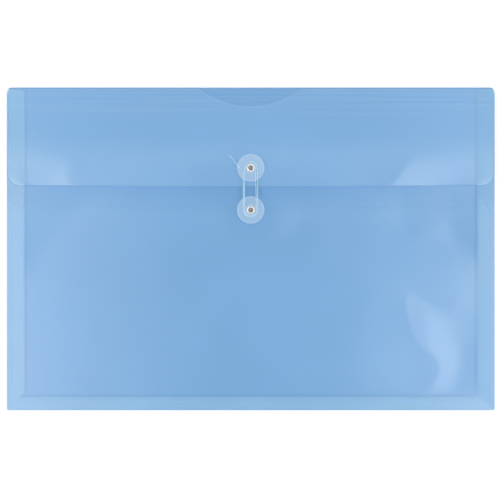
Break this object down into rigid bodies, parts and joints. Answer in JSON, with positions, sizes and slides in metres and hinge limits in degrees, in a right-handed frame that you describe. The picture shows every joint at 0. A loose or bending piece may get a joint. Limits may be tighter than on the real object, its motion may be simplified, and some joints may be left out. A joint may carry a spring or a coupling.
{
  "type": "string tie envelope",
  "caption": "Flat plastic document envelope with pleated sides and bottom, a fold-over flap, and riveted disc buttons that a wound string ties together.",
  "frame": {"origin": "under the middle of the envelope, on the surface that the back panel lies on", "axes": "+X across the width, +Y up to the flap fold, +Z out of the front"},
  "size_m": [0.3682, 0.2434, 0.0112],
  "materials": {
    "film": "clear blue film, softly glossy",
    "button": "frosted clear moulded plastic",
    "washer": "clear plastic",
    "eyelet": "bright plated metal",
    "string": "pale blue twisted cord"
  },
  "bodies": {
    "back": {"back_panel": "film"},
    "front": {"front_panel": "film", "front_eyelet": "eyelet", "front_backing_washer": "washer"},
    "fold": {"fold_strip_lower": "film"},
    "fold_top": {"fold_strip_upper": "film"},
    "flap": {"flap_panel": "film", "flap_eyelet": "eyelet", "flap_backing_washer": "washer", "string_winding": "string", "string_tail": "string"},
    "flap_button": {"flap_button": "button"},
    "front_button": {"front_button": "button"},
    "left_gusset_back_leaf": {"left_gusset_back_leaf": "film"},
    "left_gusset_front_leaf": {"left_gusset_front_leaf": "film"},
    "right_gusset_back_leaf": {"right_gusset_back_leaf": "film"},
    "right_gusset_front_leaf": {"right_gusset_front_leaf": "film"},
    "bottom_gusset_back_leaf": {"bottom_gusset_back_leaf": "film"},
    "bottom_gusset_front_leaf": {"bottom_gusset_front_leaf": "film"}
  },
  "joints": [
    {"name": "pocket_expand", "type": "slide", "parent": "back", "child": "front", "axis": [0, 0, 1], "range_m": [-0.0035, 0.012]},
    {"name": "flap_hinge", "type": "hinge", "parent": "back", "child": "fold", "pos_m": [0, 0.12118, 0.00013], "axis": [-1, 0, 0], "range_deg": [0, 86], "deforming": ["string_winding", "string_tail"]},
    {"name": "fold_lengthen", "type": "slide", "parent": "fold", "child": "fold_top", "axis": [0, 0, 1], "range_m": [-0.0035, 0.012]},
    {"name": "flap_crease", "type": "hinge", "parent": "fold_top", "child": "flap", "pos_m": [0, 0.12162, 0.00768], "axis": [-1, 0, 0], "range_deg": [0, 86]},
    {"name": "flap_button_spin", "type": "hinge", "parent": "flap", "child": "flap_button", "pos_m": [0, 0.06115, 0.00755], "axis": [0, 0, 1], "continuous": true},
    {"name": "front_button_spin", "type": "hinge", "parent": "front", "child": "front_button", "pos_m": [0, 0.02945, 0.0067], "axis": [0, 0, 1], "continuous": true},
    {"name": "left_back_pleat", "type": "hinge", "parent": "back", "child": "left_gusset_back_leaf", "pos_m": [-0.18375, 0, 0.0005], "axis": [0, -1, 0], "range_deg": [-8.5, 28.9]},
    {"name": "left_front_pleat", "type": "hinge", "parent": "front", "child": "left_gusset_front_leaf", "pos_m": [-0.18375, 0, 0.0062], "axis": [0, 1, 0], "range_deg": [-8.5, 28.9]},
    {"name": "right_back_pleat", "type": "hinge", "parent": "back", "child": "right_gusset_back_leaf", "pos_m": [0.18375, 0, 0.0005], "axis": [0, 1, 0], "range_deg": [-8.5, 28.9]},
    {"name": "right_front_pleat", "type": "hinge", "parent": "front", "child": "right_gusset_front_leaf", "pos_m": [0.18375, 0, 0.0062], "axis": [0, -1, 0], "range_deg": [-8.5, 28.9]},
    {"name": "bottom_back_pleat", "type": "hinge", "parent": "back", "child": "bottom_gusset_back_leaf", "pos_m": [0, -0.12135, 0.0005], "axis": [1, 0, 0], "range_deg": [-10.9, 37.2]},
    {"name": "bottom_front_pleat", "type": "hinge", "parent": "front", "child": "bottom_gusset_front_leaf", "pos_m": [0, -0.12135, 0.0062], "axis": [-1, 0, 0], "range_deg": [-10.9, 37.2]}
  ],
  "couplings": [
    {"joint": "fold_lengthen", "follows": "pocket_expand", "ratio": 1},
    {"joint": "flap_crease", "follows": "flap_hinge", "ratio": 1},
    {"joint": "left_back_pleat", "follows": "pocket_expand", "rad_per_m": 42},
    {"joint": "left_front_pleat", "follows": "pocket_expand", "rad_per_m": 42},
    {"joint": "right_back_pleat", "follows": "pocket_expand", "rad_per_m": 42},
    {"joint": "right_front_pleat", "follows": "pocket_expand", "rad_per_m": 42},
    {"joint": "bottom_back_pleat", "follows": "pocket_expand", "rad_per_m": 54},
    {"joint": "bottom_front_pleat", "follows": "pocket_expand", "rad_per_m": 54}
  ]
}
